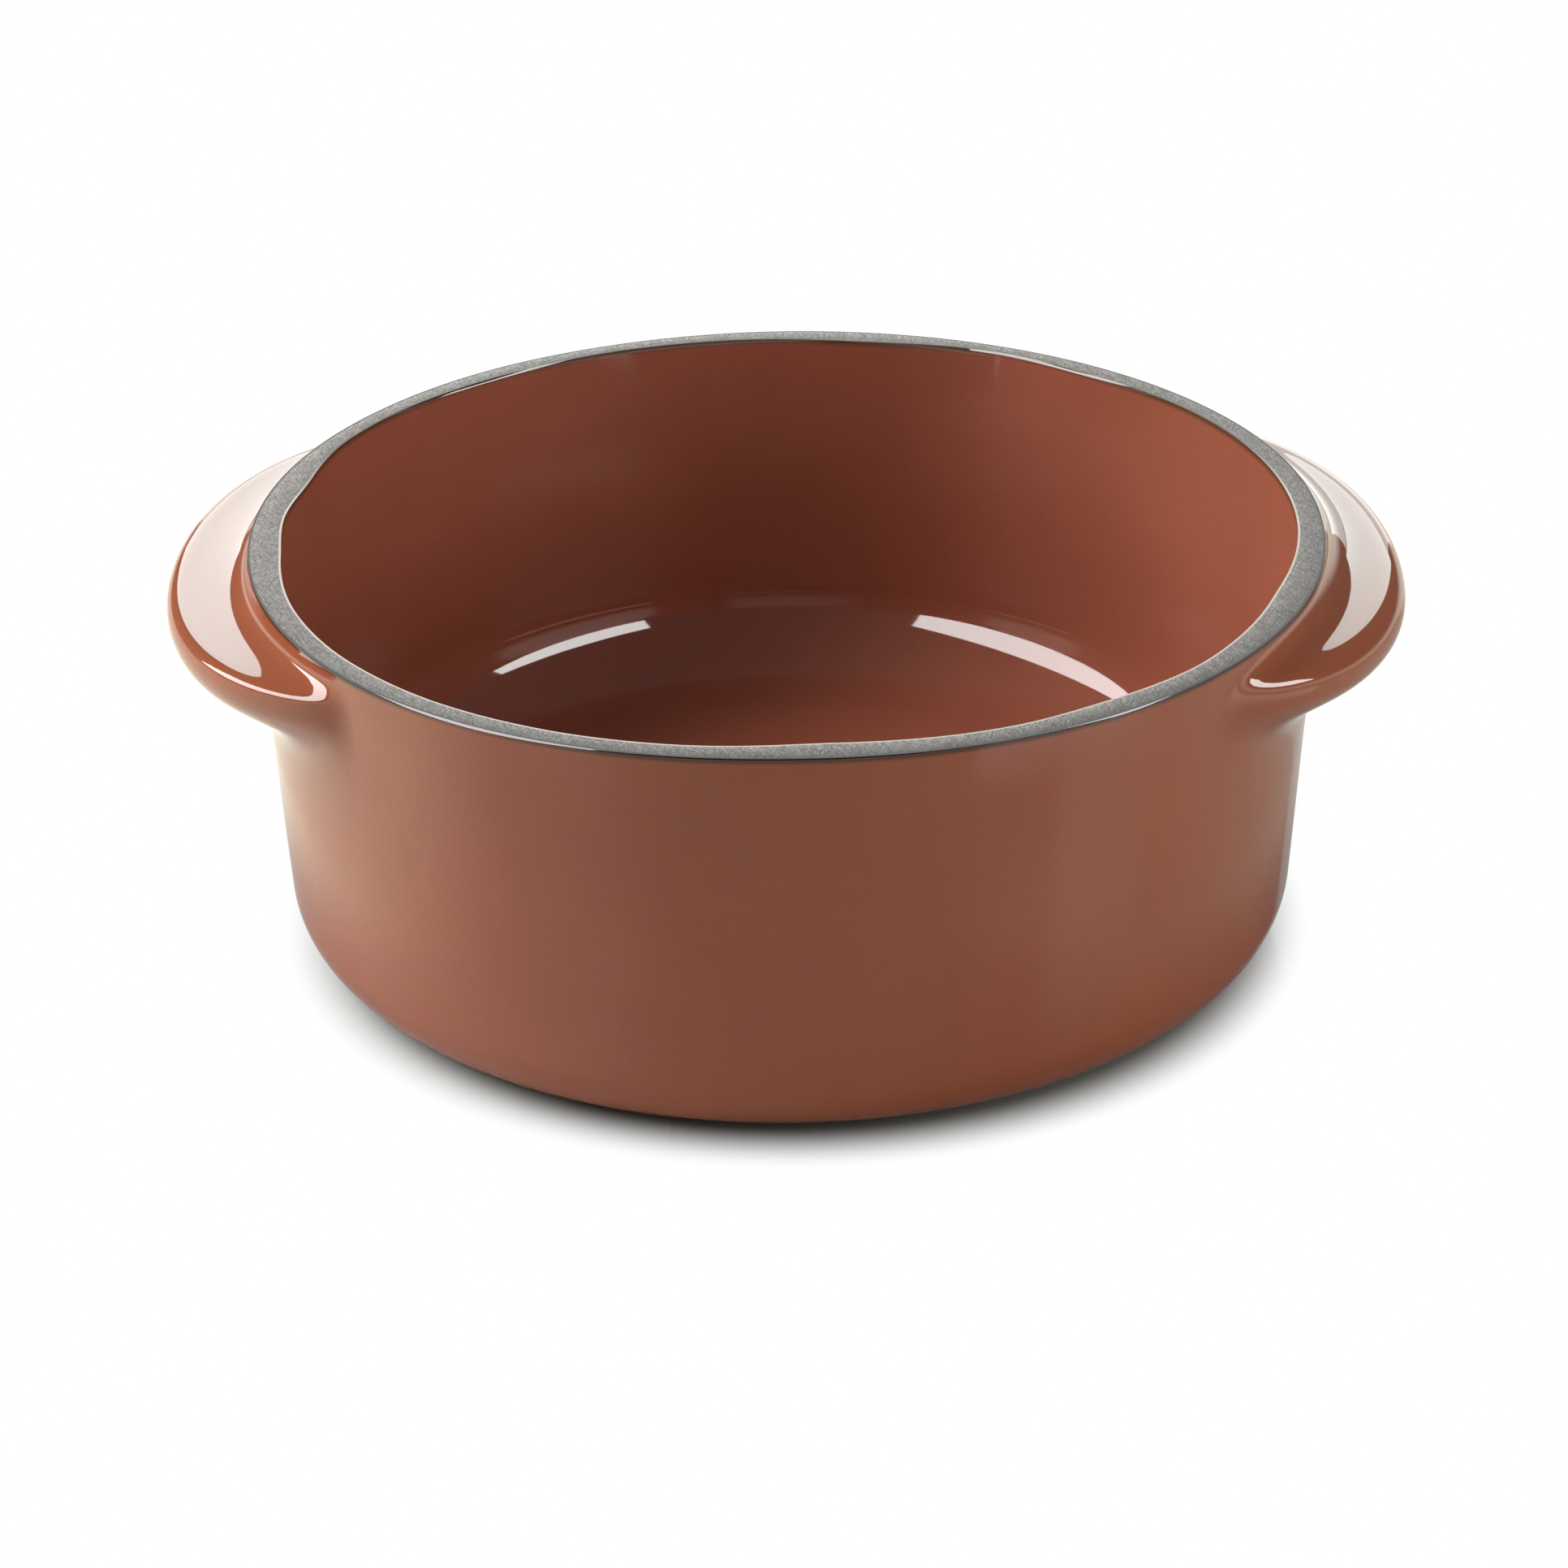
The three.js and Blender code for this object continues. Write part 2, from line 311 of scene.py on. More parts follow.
bowl_face = bowl_section(0.0)
bowl_back = bowl_section(COAT)
bowl_back[0, :, 0] = ring_inner
inner_coat = np.concatenate([bowl_face[::-1], bowl_back])
inner_values = np.concatenate([along(bowl_face)[::-1], along(bowl_back)])
inner_glaze = layer_object("inner_glaze_coat", inner_coat, False, inner_values)

# %% [markdown]
# ## The coat outside, lugs and all
# On the real dish one coat runs over the wall and both lugs with no seam. A lug could be modelled apart and
# joined with a Boolean, but its soft root would be lost. So the section is a smooth spline, and its control
# points are given three times: for the plain wall and for the middle of each lug. Every direction mixes them
# by how far it is from the middle of the nearest lug. The lugs were pressed on by hand, so each has its own
# span, sag and lift.

# %% Control points of the outer coat
# Spans and turns in degrees; lift raises both ends and dip lowers the front end, in mm.
RIGHT_LUG = {
    "side": 1.0, "half_span": 40.4, "back": 1.6, "fullness": 3.2, "softness": 0.28, "lift": 0.7, "dip": 0.55,
}
LEFT_LUG = {
    "side": -1.0, "half_span": 40.0, "back": 1.5, "fullness": 3.3, "softness": 0.15, "lift": 1.1, "dip": 0.35,
}
# For each control point, in mm: the depth on the plain wall, then reach and depth on the right lug, then
# reach and depth on the left one.
CONTROL = np.array([
    [0.0, 0.0, 0.0, 0.0, 0.0],
    [0.6, 0.0, 0.7, 0.0, 0.7],
    [1.4, 0.9, 1.8, 0.2, 2.4],
    [2.2, 2.5, 3.2, 1.4, 4.0],
    [3.0, 5.1, 4.3, 4.5, 4.7],
    [4.0, 8.7, 4.6, 8.4, 5.1],
    [5.0, 11.5, 5.9, 11.6, 5.1],
    [6.2, 12.4, 9.1, 12.5, 8.0],
    [7.8, 10.9, 11.8, 11.4, 11.5],
    [9.4, 7.6, 13.8, 8.1, 13.7],
    [11.2, 4.1, 15.6, 4.4, 15.6],
    [13.2, 1.5, 17.8, 1.7, 18.0],
    [16.0, 0.3, 20.8, 0.4, 21.0],
    [20.0, 0.0, 24.6, 0.0, 24.6],
    [25.0, 0.0, 28.6, 0.0, 28.6],
    [30.0, 0.0, 32.0, 0.0, 32.0],
])
print("control points:", len(CONTROL))

# %% [markdown]
# ## Smooth curves from few points
# Straight lines between so few points would look folded. One of Blender's curve objects could round them, but
# here the points change with the direction. So the weights of a cubic B-spline are worked out once, and one
# matrix product then turns the control points of all directions into smooth sections.


# %% Weights of the spline
def spline_weights(controls, rows):
    """Weights of a cubic B-spline that starts and ends on its end controls, by the usual recursion.

    Each weight of one degree is a rising share of a weight of the degree below plus a falling share of the
    next one, and the shares run in straight lines between the knots."""
    knots = np.concatenate([np.zeros(3), np.arange(controls - 2), np.full(3, controls - 3)]).astype(float)
    place = np.linspace(0.0, controls - 3 - 1e-9, rows)[:, None]
    weights = ((place >= knots[:-1]) & (place < knots[1:])).astype(float)
    for degree in range(1, 4):
        count = len(knots) - 1 - degree
        early = knots[:count]
        late = knots[degree + 1:degree + 1 + count]
        rise = knots[degree:degree + count] - early
        fall = late - knots[1:1 + count]
        up = np.where(rise > 0, (place - early) / np.where(rise > 0, rise, 1.0), 0.0)
        down = np.where(fall > 0, (late - place) / np.where(fall > 0, fall, 1.0), 0.0)
        weights = up * weights[:, :count] + down * weights[:, 1:count + 1]
    return weights


SKIN_ROWS = 104
skin_weights = spline_weights(len(CONTROL), SKIN_ROWS)
print("rows of the skin and its control points:", skin_weights.shape)

# %% [markdown]
# ## How a lug grows out of the wall
# A lug is full along its middle and runs out into the wall at both ends. That could be a painted mask, but a
# power of the place along the lug gives its blunt outline, and a short ramp gives the soft root.


# %% Share of a lug
def lug_share(side, half_span, back, fullness, softness, lift, dip):
    """How much of one lug each direction has, and how far the lug is raised there in mm.

    The place along the lug runs from -1 in front to 1 at the back. The share is one less a power of that
    place, and a soft ramp eases it in where it reaches nothing. The rise is the lift times the place squared
    plus the dip times the place."""
    toward_back = np.degrees(np.arctan2(np.sin(TURN), side * np.cos(TURN)))
    place = (toward_back - back) / half_span
    share = 1.0 - np.abs(place) ** fullness
    ramp = np.clip((share + softness) / (2.0 * softness), 0.0, 1.0)
    eased = 2.0 * softness * (ramp ** 3 - ramp ** 4 / 2.0)
    return np.where(share > softness, share, eased), lift * place ** 2 + dip * place


for lug in (RIGHT_LUG, LEFT_LUG):
    print("directions on the lug:", np.count_nonzero(lug_share(**lug)[0] > 0.0))

# %% [markdown]
# ## From the ground edge to the foot
# Below the bare ring the wall begins with a small round edge. It is rounder at two places in front, where it
# catches a thin white line or a dark band, and a broad low shoulder lies between them. These could be
# sculpted, but as bell curves round the dish they are two short lists of numbers.

# %% Section of the outer coat
EDGE_ROUND = 0.1 + humps([(235.0, 0.22, 10.0), (306.0, 0.14, 5.5)])
SHOULDER = 0.15 + humps([(262.0, 0.5, 26.0)])
SHOULDER_DEPTH = 8.0
FOOT_HEIGHT = 1.5
OUTER_CORNER = 9.5
OUTER_CORNER_ROWS = 18
COAT_END_RADIUS = 59.2
COAT_END_FLAT = 0.4
COAT_END_RISE = 0.15


def skin_section():
    """The dish's outer face from the ground edge to the underside.

    Depth and reach are spline sums over the control points; the radius is the rim's, less the lean of the
    wall, plus the reach. The wander of the rim fades with depth. The shoulder and the edge are parabolas,
    and the edge leans in by half a right angle where it was cut."""
    plain = CONTROL[:, 0][:, None]
    reach = np.zeros((len(CONTROL), DIRECTIONS))
    depth = np.repeat(plain, DIRECTIONS, axis=1)
    share = np.zeros(DIRECTIONS)
    for lug, column in ((RIGHT_LUG, 1), (LEFT_LUG, 3)):
        lug_part, raised = lug_share(**lug)
        out = CONTROL[:, column][:, None]
        rise = raised * out / out.max()
        reach = reach + out * lug_part
        depth = depth + (CONTROL[:, column + 1][:, None] - rise - plain) * lug_part
        share = share + lug_part
    reach = skin_weights @ reach
    depth = skin_weights @ depth
    shoulder = SHOULDER * (1.0 - share)
    drift = ring_outer + CUT_LINE + EDGE_ROUND + shoulder - RIM_RADIUS
    reach = reach + drift * fading(depth, FADE_DEPTH)
    reach = reach - shoulder * fading(depth, SHOULDER_DEPTH)
    reach = reach - EDGE_ROUND * fading(depth, 2.0 * EDGE_ROUND)
    upper = band(RIM_RADIUS - depth * SLOPE + reach, RIM_HEIGHT - depth)
    middle, height = corner_centre(RIM_RADIUS, FOOT_HEIGHT, OUTER_CORNER)
    angle = np.linspace(LEAN, np.pi / 2, OUTER_CORNER_ROWS)
    corner_radius = middle + OUTER_CORNER * np.cos(angle)
    corner_height = height - OUTER_CORNER * np.sin(angle)
    low_radius = np.concatenate([corner_radius, [COAT_END_RADIUS + COAT_END_FLAT, COAT_END_RADIUS]])
    low_height = np.concatenate([corner_height, [FOOT_HEIGHT, FOOT_HEIGHT + COAT_END_RISE]])
    return np.concatenate([upper, band(low_radius, low_height)])


# %% [markdown]
# ## The back of the coat
# A coat of glaze has a back, where it meets the clay. A Solidify modifier could add it, but then the two
# faces would end anywhere. Here the section itself is moved inwards by the coat's thickness, and its first
# row is set on the edge of the bare ring.


# %% Outer coat with its back
def section_inset(section, inset):
    """Each point of the section moved inwards, square to the section's own direction."""
    run = np.gradient(section, axis=0)
    run = run / np.maximum(np.linalg.norm(run, axis=-1, keepdims=True), 1e-9)
    return section + inset * np.stack([run[..., 1], -run[..., 0]], axis=-1)


BACK_STEP = 3
skin_face = skin_section()
skin_values = along(skin_face)
skin_back = section_inset(skin_face, COAT)[::BACK_STEP]
skin_back[0] = np.stack([ring_outer, np.full(DIRECTIONS, RIM_HEIGHT)], axis=-1)
outer_coat = np.concatenate([skin_face, skin_back[::-1]])
outer_values = np.concatenate([skin_values, skin_values[::BACK_STEP][::-1]])
outer_glaze = layer_object("outer_glaze_coat", outer_coat, True, outer_values)
print("over the lugs in mm:", round(2 * skin_face[..., 0].max(), 2))

# %% [markdown]
# ## The clay body
# Of the clay itself only the ground ring on top and the foot ring below can be seen. Still it is a whole
# closed body, pot and lugs in one as the kiln left it: its hidden faces are the backs of the coats, and its
# visible ring uses the same edge as they do, so no gap opens between clay and glaze. The ring carries a
# painted shade: in front it is painted from a pale inner edge to a dark outer edge, and at the back the other
# way, as light would fall on a slightly crowned ring. A painted image could hold that, but here it is one
# tone for each point, kept in the mesh.

# %% Section of the clay pot
FOOT_OUTER = 58.0
FOOT_INNER = 53.0
FOOT_TAPER = 0.5
FOOT_ROUND = 0.4
COVE = 0.5
COVE_MIDDLE = 0.12
CLAY_RAISED = 0.35
CLAY_OVERLAP = 0.3
UNDERSIDE_GAP = 1.2
RING_ROWS = 8


def ground_ring():
    """Rows across the flat rim, from the inner edge of the bare ring to its outer edge."""
    across = np.linspace(0.0, 1.0, RING_ROWS)[1:, None]
    radius = ring_inner + ring_width * across
    return band(radius, np.full_like(radius, RIM_HEIGHT))


def foot_section():
    """The underside of the clay from the outer coat's end over the foot ring to the middle.

    The foot has quarter rounds at its lower edges and small coves where it joins the underside."""
    clay_height = FOOT_HEIGHT + CLAY_RAISED
    turn = np.linspace(0.0, np.pi / 2, 6)
    outer_edge = FOOT_OUTER - FOOT_TAPER
    inner_edge = FOOT_INNER + FOOT_TAPER
    foot_face = np.linspace(outer_edge - FOOT_ROUND, inner_edge + FOOT_ROUND, 5)[1:-1]
    within = np.linspace(FOOT_INNER - UNDERSIDE_GAP, MIDDLE_RADIUS, 8)
    cove = [clay_height, clay_height - COVE_MIDDLE, clay_height - COVE]
    radius = np.concatenate([
        [COAT_END_RADIUS + CLAY_OVERLAP, FOOT_OUTER + COVE, FOOT_OUTER + COVE_MIDDLE, FOOT_OUTER],
        outer_edge - FOOT_ROUND + FOOT_ROUND * np.cos(turn),
        foot_face,
        inner_edge + FOOT_ROUND - FOOT_ROUND * np.sin(turn),
        [FOOT_INNER, FOOT_INNER - COVE_MIDDLE, FOOT_INNER - COVE],
        within,
    ])
    height = np.concatenate([
        [clay_height],
        cove,
        FOOT_ROUND - FOOT_ROUND * np.sin(turn),
        np.zeros(len(foot_face)),
        FOOT_ROUND - FOOT_ROUND * np.cos(turn),
        cove[::-1],
        np.full(len(within), clay_height),
    ])
    return band(radius, height)


# %% Clay body with the painted shade of its ring
# Painted shade on the ground ring: darker towards the outer edge in front, towards the inner edge at the
# back.
RING_SHADED_SIDE = math.radians(290.0)
RING_SHADE_MIDDLE = 0.86
RING_SHADE_ROUND = 0.17
RING_SHADE_ACROSS = 0.36


def ring_painted_shade():
    """Painted shade across the ring, from its inner edge to its outer edge, one row for each row of the ring.

    It is the MIDDLE value, less the ROUND value times d, less the ACROSS value times d times s. d is the
    cosine of the angle from the shaded side, and s runs from -1 at the inner edge to 1 at the outer edge."""
    side = np.cos(TURN - RING_SHADED_SIDE)
    across = np.linspace(-1.0, 1.0, RING_ROWS)[:, None]
    return RING_SHADE_MIDDLE - RING_SHADE_ROUND * side - RING_SHADE_ACROSS * side * across


clay_section = np.concatenate([bowl_back[::-1], ground_ring(), skin_back[1:-2], foot_section()])
clay_values = np.ones(clay_section.shape[:2])
first_row = len(bowl_back) - 1
clay_values[first_row:first_row + RING_ROWS] = ring_painted_shade()
clay_body = layer_object("clay_body", clay_section, False, clay_values, "ring_painted_shade")

# %% [markdown]
# ## The coat under the dish
# Within the foot ring the underside is glazed too, because the dish is dipped whole and only the foot is
# wiped clean. A squashed cylinder could stand for it, but the same kind of section gives it a rounded edge.

# %% Section of the underside coat
UNDERSIDE_RADIUS = 51.8
UNDERSIDE_EDGE = 0.5
UNDERSIDE_ROUND = 0.3
UNDERSIDE_INSET = 0.3
FAR_FROM_EDGE = 50.0


def underside_section():
    """A thin disc: flat below, a quarter round at its edge, flat above."""
    turn = np.linspace(0.0, np.pi / 2, 7)[1:]
    below = np.linspace(MIDDLE_RADIUS, UNDERSIDE_RADIUS - UNDERSIDE_EDGE, 8)
    above = np.linspace(UNDERSIDE_RADIUS - UNDERSIDE_INSET, MIDDLE_RADIUS, 6)
    rounded = UNDERSIDE_RADIUS - UNDERSIDE_EDGE + UNDERSIDE_EDGE * np.sin(turn)
    radius = np.concatenate([below, rounded, above])
    height = np.concatenate([
        np.full(len(below), FOOT_HEIGHT),
        FOOT_HEIGHT + UNDERSIDE_ROUND - UNDERSIDE_ROUND * np.cos(turn),
        np.full(len(above), FOOT_HEIGHT + CLAY_RAISED),
    ])
    return band(radius, height)


underside = underside_section()
underside_values = np.full(underside.shape[:2], FAR_FROM_EDGE)
underside_glaze = layer_object("underside_glaze_coat", underside, False, underside_values)

# %% [markdown]
# ## Which layer stands for which solid
# Each new piece rides on the dish's only body and hides the solid that it stands for; its row in the table
# also lists the finish it takes from the record. The clay body and the outer coat stand for three solids
# each, because both run on over the lugs.

# %% Tie the pieces to the solid model
STANDS_FOR = [
    (clay_body, ["clay_pot", "left_handle", "right_handle"], "stoneware"),
    (inner_glaze, ["inner_glaze"], "glaze"),
    (outer_glaze, ["outer_glaze", "left_handle_glaze", "right_handle_glaze"], "glaze"),
    (underside_glaze, ["underside_glaze"], "glaze"),
]
for piece, nodes, slot in STANDS_FOR:
    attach(piece, "root")
    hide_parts(*nodes)
    print(piece.name, "stands for", nodes)

# %% [markdown]
# ## Node helpers
# Finishes are built from shader nodes. They could be wired by hand in the editor, but a few small helpers,
# which add a node with its settings and links, let each finish below read as a list of steps.


# %% Helpers for shader nodes
def add_node(tree, kind, inputs=None, **settings):
    """A node of the given kind. inputs gives a value or another node's output socket by name or number."""
    node = tree.nodes.new(kind)
    for key, value in settings.items():
        setattr(node, key, value)
    for key, value in (inputs or {}).items():
        if isinstance(value, bpy.types.NodeSocket):
            tree.links.new(value, node.inputs[key])
        else:
            node.inputs[key].default_value = value
    return node


def combine(tree, operation, first, second):
    """Output of a Math node that takes two values or sockets."""
    return add_node(tree, "ShaderNodeMath", {0: first, 1: second}, operation=operation).outputs[0]


def measure(tree, operation, place, other=(0.0, 0.0, 0.0)):
    """Output of a Vector Math node that makes one value of a place and a second point or direction."""
    return add_node(tree, "ShaderNodeVectorMath", {0: place, 1: other}, operation=operation).outputs["Value"]


def fade(tree, value, start, end, low=0.0, high=1.0, smooth=False):
    """Output of a Map Range node: low where the value is start, high where it is end, and held past both."""
    limits = {"Value": value, "From Min": start, "From Max": end, "To Min": low, "To Max": high}
    kind = "SMOOTHSTEP" if smooth else "LINEAR"
    return add_node(tree, "ShaderNodeMapRange", limits, interpolation_type=kind).outputs["Result"]


def mix_colours(tree, share, first, second):
    """Output of a Mix node: the first colour where share is 0, the second where it is 1."""
    colours = {"Factor": share, 6: first, 7: second}
    return add_node(tree, "ShaderNodeMix", colours, data_type="RGBA").outputs[2]


def scale_colour(tree, colour, by):
    """Output of a Vector Math node that multiplies a colour by one value."""
    node = add_node(tree, "ShaderNodeVectorMath", {0: colour, "Scale": by}, operation="SCALE")
    return node.outputs["Vector"]


def start_material(name):
    """A new node material, its tree and its Principled shader."""
    material = bpy.data.materials.new(name)
    material.use_nodes = True
    tree = material.node_tree
    shader = next(n for n in tree.nodes if n.type == "BSDF_PRINCIPLED")
    return material, tree, shader


def new_group(name, inputs, outputs):
    """A shader node group with the named sockets; each is a pair of name and socket kind."""
    group = bpy.data.node_groups.new(name, "ShaderNodeTree")
    for label, kind in inputs:
        group.interface.new_socket(label, in_out="INPUT", socket_type=kind)
    for label, kind in outputs:
        group.interface.new_socket(label, in_out="OUTPUT", socket_type=kind)
    entry = group.nodes.new("NodeGroupInput")
    leave = group.nodes.new("NodeGroupOutput")
    return group, entry, leave


# %% [markdown]
# ## Grain that both finishes share
# Fired clay and glaze both vary a little from place to place: a slow drift over a centimetre or two, and a
# fine grain well under a millimetre. One group makes both from noise on Object coordinates, and each finish
# chooses how much of them it shows.

# %% Group for drift and grain
grain_group, grain_in, grain_out = new_group(
    "kiln_grain",
    [("Drift Scale", "NodeSocketFloat"), ("Grain Scale", "NodeSocketFloat")],
    [("Drift", "NodeSocketFloat"), ("Grain", "NodeSocketFloat")],
)
grain_place = add_node(grain_group, "ShaderNodeTexCoord")
drift_noise = add_node(grain_group, "ShaderNodeTexNoise", {
    "Vector": grain_place.outputs["Object"],
    "Scale": grain_in.outputs["Drift Scale"],
    "Detail": 3.0,
    "Roughness": 0.5,
})
fine_noise = add_node(grain_group, "ShaderNodeTexNoise", {
    "Vector": grain_place.outputs["Object"],
    "Scale": grain_in.outputs["Grain Scale"],
    "Detail": 2.0,
    "Roughness": 0.6,
})
grain_group.links.new(drift_noise.outputs["Fac"], grain_out.inputs["Drift"])
grain_group.links.new(fine_noise.outputs["Fac"], grain_out.inputs["Grain"])
print("group:", grain_group.name)

# %% [markdown]
# ## The cinnamon glaze
# The glaze is glossy and opaque. It is even in colour, with a slow drift between two close browns, and turns
# dark along the ground edge. The edge could be a mask drawn by hand, but the attribute made with the
# sections already says how far each point is from it. Slight waves in the coat bend reflections a little,
# as on any dipped pot. One function makes two versions: the inside is a little rosier, a painted sheen that
# stands for a faint veil of reflection; its wall and floor are duller than the corner between them, by a ramp
# over the height; and its cut line is painted pale on the front half of the rim, a painted highlight where
# that edge faces the light from behind.

# %% Glaze material
GLAZE_BROWN = (0.300, 0.084, 0.036, 1.0)
GLAZE_DEEP = (0.288, 0.079, 0.034, 1.0)
# The inside browns carry a painted sheen: a little rosier and greyer than the outside ones, for a faint veil
# of reflection.
INSIDE_BROWN_WITH_SHEEN = (0.305, 0.094, 0.054, 1.0)
INSIDE_DEEP_WITH_SHEEN = (0.292, 0.088, 0.051, 1.0)
GLAZE_EDGE = (0.025, 0.012, 0.006, 1.0)
INSIDE_EDGE = (0.085, 0.044, 0.022, 1.0)
# Painted highlight: the pale colour of the inside cut line on the front half of the rim.
CUT_PAINTED_HIGHLIGHT = (0.56, 0.50, 0.42, 1.0)
INSIDE_DULL = [(8.4, 0.25), (9.0, 0.0), (20.0, 0.0), (28.0, 0.14), (52.0, 0.14), (58.0, 0.0)]
OUTSIDE_DULL = [(0.0, 0.0), (60.0, 0.0)]
GLAZE_IOR = 1.65


def glaze_finish(name, brown_tone, deep_tone, edge_tone, cut_highlight_tone, dullness):
    """Brown from the drift, dark near the ground edge and dull on its cut, with waves in the normal.

    On the front half of the rim the cut line takes the cut tone; inside, that is a painted highlight.
    dullness is a list of pairs: a height in mm and the roughness that is added there."""
    material, tree, shader = start_material(name)
    grain = add_node(tree, "ShaderNodeGroup", {
        "Drift Scale": 55.0, "Grain Scale": 1500.0,
    }, node_tree=grain_group)
    drift = grain.outputs["Drift"]
    brown = mix_colours(tree, fade(tree, drift, 0.35, 0.65), deep_tone, brown_tone)
    flecked = scale_colour(tree, brown, fade(tree, grain.outputs["Grain"], 0.3, 0.7, 0.97, 1.03))
    from_edge = add_node(tree, "ShaderNodeAttribute", attribute_name="from_edge").outputs["Fac"]
    near_edge = fade(tree, from_edge, 0.1, 1.1, 1.0, 0.0, smooth=True)
    colour = mix_colours(tree, near_edge, flecked, edge_tone)
    place = add_node(tree, "ShaderNodeTexCoord")
    parts = add_node(tree, "ShaderNodeSeparateXYZ", {0: place.outputs["Object"]})
    # Painted highlight on the front half of the cut line.
    front = fade(tree, parts.outputs["Y"], 0.03, 0.01)
    cut_line = fade(tree, from_edge, 0.0, 0.1, 1.0, 0.0)
    colour_with_cut_highlight = mix_colours(tree, combine(tree, "MULTIPLY", front, cut_line), colour, cut_highlight_tone)
    tree.links.new(colour_with_cut_highlight, shader.inputs["Base Color"])
    gloss = fade(tree, drift, 0.3, 0.7, 0.035, 0.05)
    cut_matt = fade(tree, from_edge, 0.0, 0.08, 0.55, 0.0)
    level = fade(tree, parts.outputs["Z"], 0.0, RIM_HEIGHT * MM)
    worn = add_node(tree, "ShaderNodeValToRGB", {"Fac": level})
    while len(worn.color_ramp.elements) < len(dullness):
        worn.color_ramp.elements.new(1.0)
    for stop, (height, added) in zip(worn.color_ramp.elements, dullness):
        stop.position = height / RIM_HEIGHT
        stop.color = (added, added, added, 1.0)
    dull = combine(tree, "MAXIMUM", combine(tree, "ADD", gloss, worn.outputs["Color"]), cut_matt)
    tree.links.new(dull, shader.inputs["Roughness"])
    waves = add_node(tree, "ShaderNodeBump", {"Height": drift, "Strength": 0.12, "Distance": 0.0001})
    tree.links.new(waves.outputs["Normal"], shader.inputs["Normal"])
    shader.inputs["IOR"].default_value = GLAZE_IOR
    return material


glaze_inside = glaze_finish(
    "cinnamon_glaze_inside_with_sheen", INSIDE_BROWN_WITH_SHEEN, INSIDE_DEEP_WITH_SHEEN, INSIDE_EDGE, CUT_PAINTED_HIGHLIGHT, INSIDE_DULL)
glaze_outside = glaze_finish(
    "cinnamon_glaze_outside", GLAZE_BROWN, GLAZE_DEEP, GLAZE_EDGE, GLAZE_EDGE, OUTSIDE_DULL)
inner_glaze.data.materials.append(glaze_inside)
for piece in (outer_glaze, underside_glaze):
    piece.data.materials.append(glaze_outside)
print("glazes:", glaze_inside.name, "and", glaze_outside.name)

# %% [markdown]
# ## The ground clay
# The bare rim is grey and matt, with fine straight scratches that cross each other, left by the grinding
# wheel. Each set of scratches is noise stretched along one direction, of which only the low parts count as
# grooves; four sets at different angles make the hatching. An image could carry them, but noise stays sharp
# from close by. The painted shade kept in the mesh then multiplies the grey. The foot ring is rubbed on the
# same wheel.

# %% Scratch group
scratch_group, scratch_in, scratch_out = new_group(
    "grinding_scratches",
    [("Angle", "NodeSocketFloat"), ("Fineness", "NodeSocketFloat")],
    [("Groove", "NodeSocketFloat")],
)
SCRATCH_STRETCH = (0.06, 1.0, 0.3)
scratch_place = add_node(scratch_group, "ShaderNodeTexCoord")
scratch_turn = add_node(scratch_group, "ShaderNodeVectorRotate", {
    "Vector": scratch_place.outputs["Object"],
    "Angle": scratch_in.outputs["Angle"],
}, rotation_type="Z_AXIS")
scratch_stretch = add_node(scratch_group, "ShaderNodeVectorMath", {
    0: scratch_turn.outputs["Vector"], 1: SCRATCH_STRETCH,
}, operation="MULTIPLY")
scratch_noise = add_node(scratch_group, "ShaderNodeTexNoise", {
    "Vector": scratch_stretch.outputs["Vector"],
    "Scale": scratch_in.outputs["Fineness"],
    "Detail": 2.0,
    "Roughness": 0.6,
})
scratch_low = fade(scratch_group, scratch_noise.outputs["Fac"], 0.36, 0.50, 1.0, 0.0, smooth=True)
scratch_group.links.new(scratch_low, scratch_out.inputs["Groove"])
print("group:", scratch_group.name)

# %% Clay material
CLAY_PALE = (0.50, 0.462, 0.430, 1.0)
CLAY_DARK = (0.13, 0.118, 0.108, 1.0)
SCRATCH_SETS = [(-80.0, 6500.0), (-60.0, 7000.0), (-112.0, 7200.0), (40.0, 7500.0)]
GROOVE_DEPTH = 0.7
CLAY_IOR = 1.45


def clay_finish():
    """Grey from the grain less the deepest grooves, times the ring's painted shade; matt, a little uneven.

    Grain and grooves also give the bump."""
    material, tree, shader = start_material("ground_stoneware")
    grain = add_node(tree, "ShaderNodeGroup", {
        "Drift Scale": 120.0, "Grain Scale": 3400.0,
    }, node_tree=grain_group)
    groove = 0.0
    for angle, fineness in SCRATCH_SETS:
        lines = add_node(tree, "ShaderNodeGroup", {
            "Angle": math.radians(angle), "Fineness": fineness,
        }, node_tree=scratch_group)
        groove = combine(tree, "MAXIMUM", groove, lines.outputs["Groove"])
    ground = fade(tree, grain.outputs["Grain"], 0.3, 0.7, 0.55, 1.0)
    tone = combine(tree, "SUBTRACT", ground, combine(tree, "MULTIPLY", groove, GROOVE_DEPTH))
    colour = mix_colours(tree, tone, CLAY_DARK, CLAY_PALE)
    shade = add_node(tree, "ShaderNodeAttribute", attribute_name="ring_painted_shade").outputs["Fac"]
    tree.links.new(scale_colour(tree, colour, shade), shader.inputs["Base Color"])
    matt = fade(tree, grain.outputs["Drift"], 0.0, 1.0, 0.55, 0.8)
    tree.links.new(matt, shader.inputs["Roughness"])
    bump = add_node(tree, "ShaderNodeBump", {"Height": tone, "Strength": 0.5, "Distance": 0.00006})
    tree.links.new(bump.outputs["Normal"], shader.inputs["Normal"])
    shader.inputs["IOR"].default_value = CLAY_IOR
    return material


clay_body.data.materials.append(clay_finish())
print("clay:", clay_body.data.materials[0].name)

